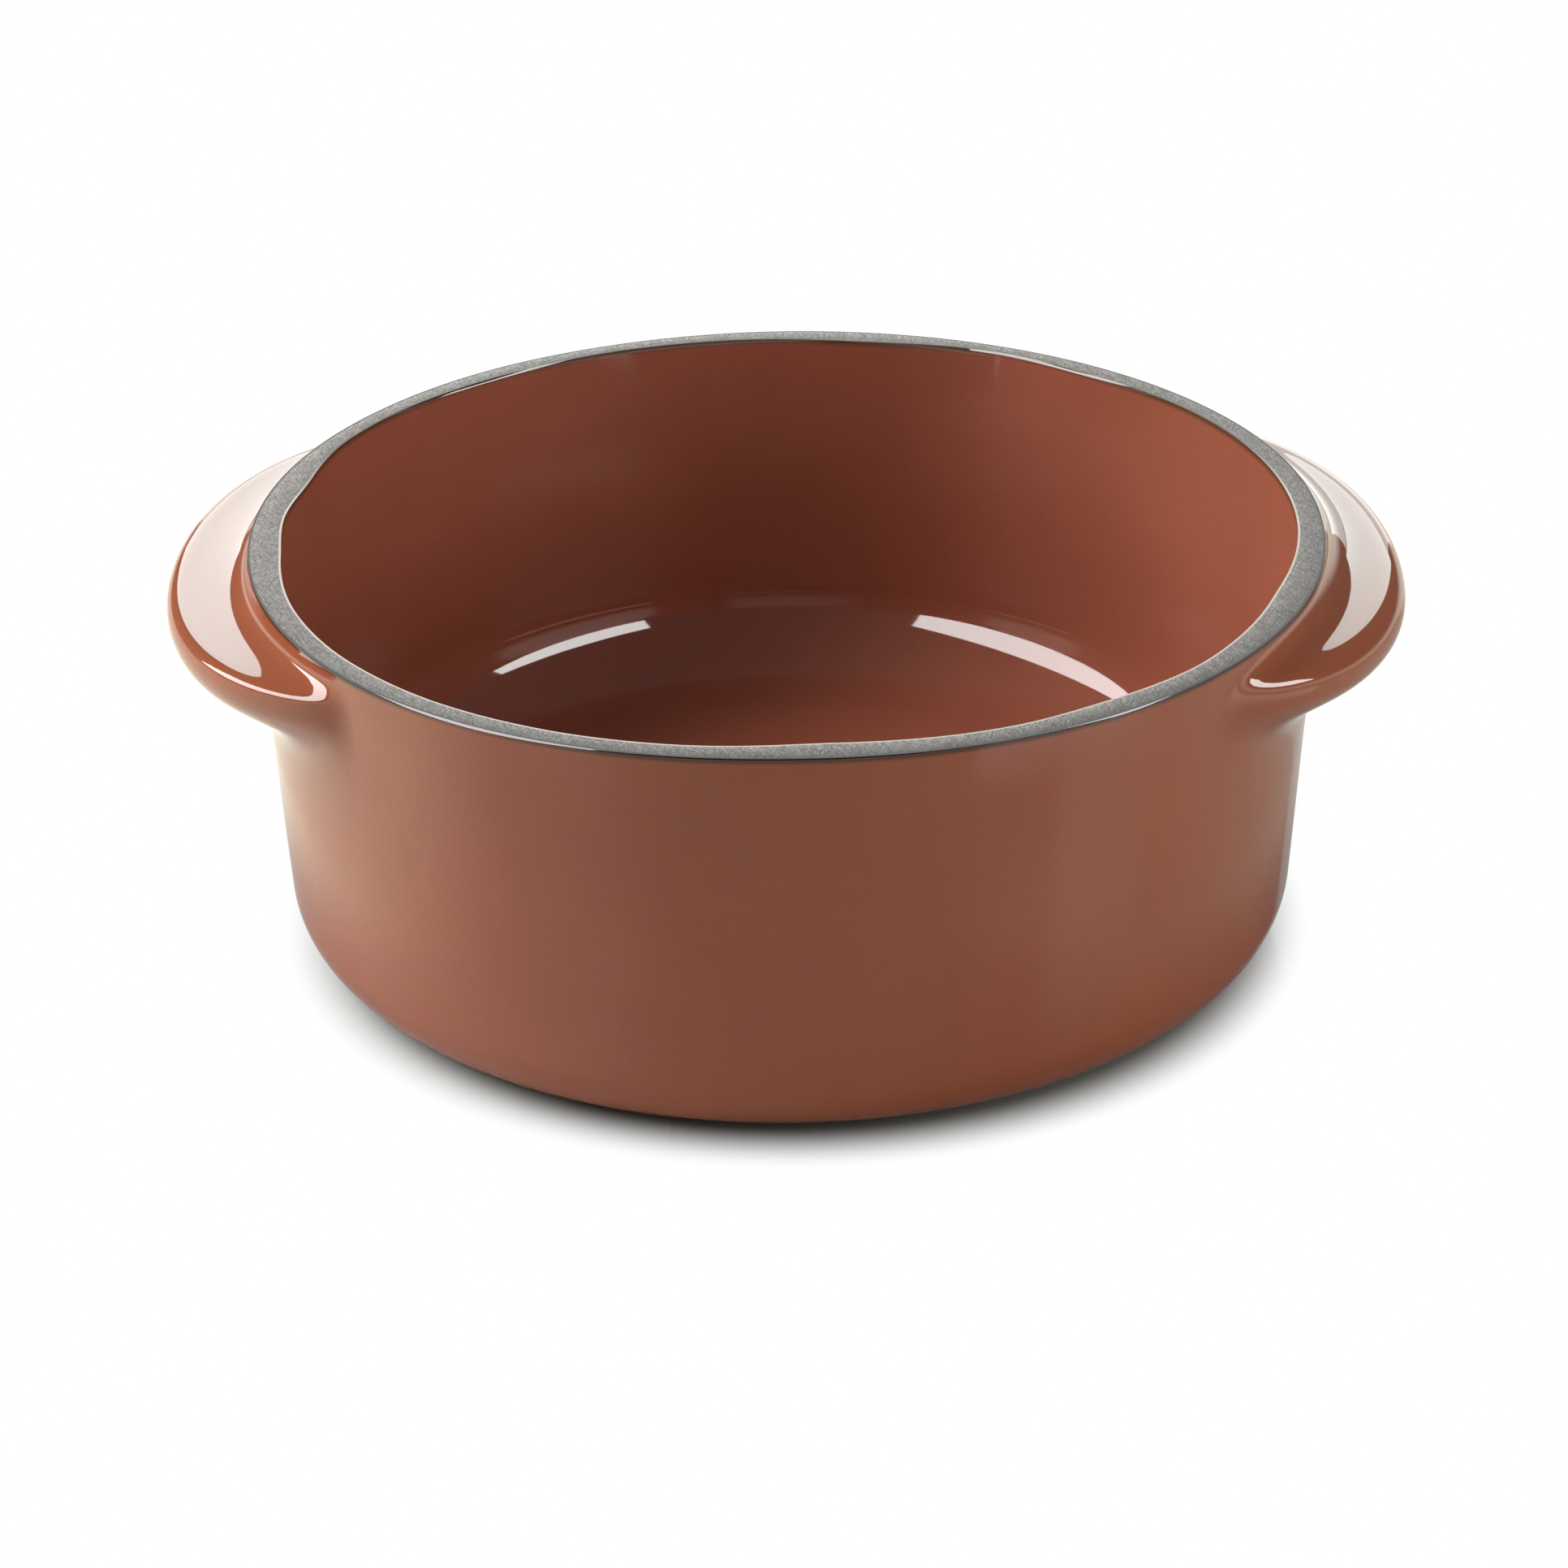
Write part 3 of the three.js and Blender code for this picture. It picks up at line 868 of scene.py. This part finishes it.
# %% [markdown]
# ## The floor
# The dish stands on a smooth white table top, with a soft shadow close round it. One plain white surface
# could do, but the white that the picture needs would then flood the dish with light. So each kind of ray
# meets its own tone. The camera sees the grey of the shadow and, just past it, plain white. Bounced light
# meets a pale table. The glaze mirrors a darker table that turns warm white far out, towards the back left
# and, more faintly, towards the back right. The shadow lies slightly off the middle of the dish.

# %% Floor disc
FLOOR_REACH = 6.0
FLOOR_RINGS = 12
FLOOR_DIRECTIONS = 96
FLOOR_DROP = 0.00002


def floor_disc():
    """A flat disc: rings of growing radius times directions, a hair below the foot."""
    radius = np.concatenate([[0.02], np.geomspace(0.1, FLOOR_REACH, FLOOR_RINGS)])
    angle = np.linspace(0.0, 2.0 * np.pi, FLOOR_DIRECTIONS, endpoint=False)
    x = radius[:, None] * np.cos(angle)
    y = radius[:, None] * np.sin(angle)
    points = np.stack([x, y, np.full_like(x, -FLOOR_DROP)], axis=-1).reshape(-1, 3)
    number = np.arange(len(points)).reshape(len(radius), FLOOR_DIRECTIONS)
    beside = np.roll(number, -1, axis=1)
    quads = np.stack([number[:-1], number[1:], beside[1:], beside[:-1]], axis=-1).reshape(-1, 4)
    mesh = bpy.data.meshes.new("table_top")
    mesh.from_pydata(points.tolist(), [], quads.tolist() + [number[0].tolist()])
    disc = bpy.data.objects.new("table_top", mesh)
    bpy.context.scene.collection.objects.link(disc)
    return disc


table_top = floor_disc()
print("floor radius in m:", FLOOR_REACH)

# %% Floor material
# Each pair says between which distances, in metres, the white comes in.
WHITE_NEAR = (0.063, 0.0745)
WHITE_FAR = (0.30, 0.60)
WHITE_BACK = (-0.02, 0.04)
# In the glaze the table glows warm white, painted light seen only in reflections; the edge of WHITE_RIGHT
# stands for the dish's own shadow on the table, a painted shadow.
WHITE_RIGHT = (-0.049, -0.037)
CLEAR_OF_DISH = (0.075, 0.10)
TO_BACK_LEFT = (-0.6, 0.8, 0.0)
TO_BACK_RIGHT = (0.45, 0.89, 0.0)
RIGHT_SHARE = 0.26
SHADOW_MIDDLE = (0.0008, 0.0, 0.0)
# Painted shadow: for the camera the table near the dish takes this darker grey over the lamps' real shade;
# WHITE_NEAR, measured from SHADOW_MIDDLE, sets where it ends.
SHADOW_TONE = (0.29, 0.315, 0.285, 1.0)
TABLE_SEEN = (0.36, 0.36, 0.355, 1.0)
TABLE_BOUNCE = (0.75, 0.75, 0.74, 1.0)
PLAIN_WHITE = (1.0, 1.0, 1.0, 1.0)
WARM_WHITE = (1.15, 1.13, 0.94, 1.0)
TABLE_IOR = 1.3


def kinds_of_ray(tree):
    """Sockets that are one for rays from the camera, for bounced light and for what shiny surfaces mirror."""
    path = add_node(tree, "ShaderNodeLightPath")
    shiny = combine(tree, "MAXIMUM", path.outputs["Is Glossy Ray"], path.outputs["Is Transmission Ray"])
    return path.outputs["Is Camera Ray"], path.outputs["Is Diffuse Ray"], shiny


def floor_finish():
    """Grey where the dish shades it, deepened for the camera by a painted shadow tone, and white for the
    camera past WHITE_NEAR.

    In the glaze it is white past WHITE_FAR and, clear of the dish, past WHITE_BACK towards the back left and
    partly past WHITE_RIGHT towards the back right."""
    material, tree, shader = start_material("white_table")
    shader.inputs["IOR"].default_value = TABLE_IOR
    camera_ray, bounced_ray, shiny_ray = kinds_of_ray(tree)
    tone = mix_colours(tree, bounced_ray, TABLE_SEEN, TABLE_BOUNCE)
    tree.links.new(mix_colours(tree, camera_ray, tone, SHADOW_TONE), shader.inputs["Base Color"])
    place = add_node(tree, "ShaderNodeTexCoord").outputs["Object"]
    parts = add_node(tree, "ShaderNodeSeparateXYZ", {0: place})
    polish = fade(tree, parts.outputs["X"], -0.06, 0.02, 0.42, 0.15)
    tree.links.new(polish, shader.inputs["Roughness"])
    near = fade(tree, measure(tree, "DISTANCE", place, SHADOW_MIDDLE), *WHITE_NEAR, smooth=True)
    away = measure(tree, "LENGTH", place)
    far = fade(tree, away, *WHITE_FAR, smooth=True)
    clear = fade(tree, away, *CLEAR_OF_DISH, smooth=True)
    left = fade(tree, measure(tree, "DOT_PRODUCT", place, TO_BACK_LEFT), *WHITE_BACK, smooth=True)
    toward_right = measure(tree, "DOT_PRODUCT", place, TO_BACK_RIGHT)
    right = fade(tree, toward_right, *WHITE_RIGHT, high=RIGHT_SHARE, smooth=True)
    sides = combine(tree, "MULTIPLY", combine(tree, "MAXIMUM", left, right), clear)
    for_glaze = combine(tree, "MULTIPLY", combine(tree, "MAXIMUM", far, sides), shiny_ray)
    for_camera = combine(tree, "MULTIPLY", near, camera_ray)
    white = mix_colours(tree, shiny_ray, PLAIN_WHITE, WARM_WHITE)
    glow = add_node(tree, "ShaderNodeEmission", {"Color": white, "Strength": 1.0})
    mixed = add_node(tree, "ShaderNodeMixShader", {
        0: combine(tree, "MAXIMUM", for_glaze, for_camera),
        1: shader.outputs["BSDF"],
        2: glow.outputs["Emission"],
    })
    output = next(n for n in tree.nodes if n.type == "OUTPUT_MATERIAL")
    tree.links.new(mixed.outputs["Shader"], output.inputs["Surface"])
    return material


table_top.data.materials.append(floor_finish())
print("floor finish:", table_top.data.materials[0].name)

# %% [markdown]
# ## Lamps and surroundings
# The highlights tell where the light came from. Two panels and a low one behind the dish whiten the tops and
# the far sides of the lugs, slightly cool as daylight is. A large box on the left and a smaller one on the
# right draw the two arcs inside the bowl and the bright hooks on the lugs. One set of lamps could do all the
# work, but those that draw these highlights would light the walls too flatly. So they only show in the glaze,
# and three other lamps only light the dish. All are area lamps, so their shape counts, and the camera sees
# none of them.

# %% Lamps
COOL_LEFT = (0.81, 0.97, 0.96)
COOL_RIGHT = (0.86, 0.97, 0.95)
LAMPS = {
    "back_left": {"turn": 101.4, "away": 0.63, "low": 0.18, "high": 0.48, "width": 0.33, "glow": 4.0,
                  "lights": False, "tint": COOL_LEFT},
    "back_right": {"turn": 73.4, "away": 0.64, "low": 0.18, "high": 0.48, "width": 0.33, "glow": 3.4,
                   "lights": False, "tint": COOL_RIGHT},
    "back_low": {"turn": 87.2, "away": 0.62, "low": 0.0, "high": 0.18, "width": 0.62, "glow": 1.65,
                 "lights": False, "tint": COOL_RIGHT},
    "left_low": {"turn": 170.0, "away": 0.70, "low": 0.16, "high": 0.59, "width": 0.60, "glow": 6.6,
                 "shines": False},
    "left_high": {"turn": 167.0, "away": 0.70, "low": 0.59, "high": 1.12, "width": 0.60, "glow": 10.6,
                  "shines": False},
    "right_key": {"turn": -14.0, "away": 0.70, "low": 0.08, "high": 0.36, "width": 0.70, "glow": 4.4,
                  "shines": False},
    "left_box": {"turn": -165.0, "away": 0.60, "low": 0.17, "high": 0.53, "width": 1.02, "glow": 9.0,
                 "lights": False},
    "right_box": {"turn": -30.0, "away": 0.90, "low": 0.23, "high": 0.55, "width": 0.76, "glow": 9.0,
                  "lights": False},
}


def soft_box(name, turn, away, low, high, width, glow, lights=True, shines=True, tint=(1.0, 1.0, 1.0)):
    """An upright rectangle that faces the dish. Its power is glow times pi times its area.

    lights says whether it lights surfaces, shines whether it shows in glossy ones."""
    lamp = bpy.data.lights.new(name, "AREA")
    lamp.shape = "RECTANGLE"
    lamp.size = width
    lamp.size_y = high - low
    lamp.energy = glow * math.pi * width * (high - low)
    lamp.color = tint
    box = bpy.data.objects.new(name, lamp)
    bpy.context.scene.collection.objects.link(box)
    angle = math.radians(turn)
    box.location = (away * math.cos(angle), away * math.sin(angle), (low + high) / 2.0)
    box.rotation_euler = (math.pi / 2, 0.0, angle + math.pi / 2)
    box.visible_camera = False
    box.visible_diffuse = lights
    box.visible_glossy = shines
    return box


for lamp_name, values in LAMPS.items():
    lamp_box = soft_box(lamp_name, **values)
    print(lamp_box.name, "turn:", values["turn"], "glow:", values["glow"])

# %% [markdown]
# ## The room
# Round the table is a white studio. A white background alone could give that, but it would light every side
# of the dish alike. So only the camera and low reflections meet white, and all else meets a dim grey room.

# %% World
ROOM_GREY = (0.27, 0.27, 0.27, 1.0)
ROOM_MIRRORED = (0.12, 0.12, 0.12, 1.0)
WHITE_RISE = 0.10


def studio_world():
    """White for the camera, white low down for reflections, and a dim grey room for everything else."""
    world = bpy.data.worlds.new("studio")
    world.use_nodes = True
    bpy.context.scene.world = world
    tree = world.node_tree
    background = next(n for n in tree.nodes if n.type == "BACKGROUND")
    camera_ray, _, shiny_ray = kinds_of_ray(tree)
    place = add_node(tree, "ShaderNodeTexCoord")
    parts = add_node(tree, "ShaderNodeSeparateXYZ", {0: place.outputs["Generated"]})
    low = fade(tree, parts.outputs["Z"], 0.0, WHITE_RISE, 1.0, 0.0)
    white = combine(tree, "MAXIMUM", camera_ray, combine(tree, "MULTIPLY", shiny_ray, low))
    room = mix_colours(tree, shiny_ray, ROOM_GREY, ROOM_MIRRORED)
    tree.links.new(mix_colours(tree, white, room, PLAIN_WHITE), background.inputs["Color"])
    return world


world = studio_world()
bpy.context.scene.view_settings.view_transform = "Standard"
print("world:", world.name)
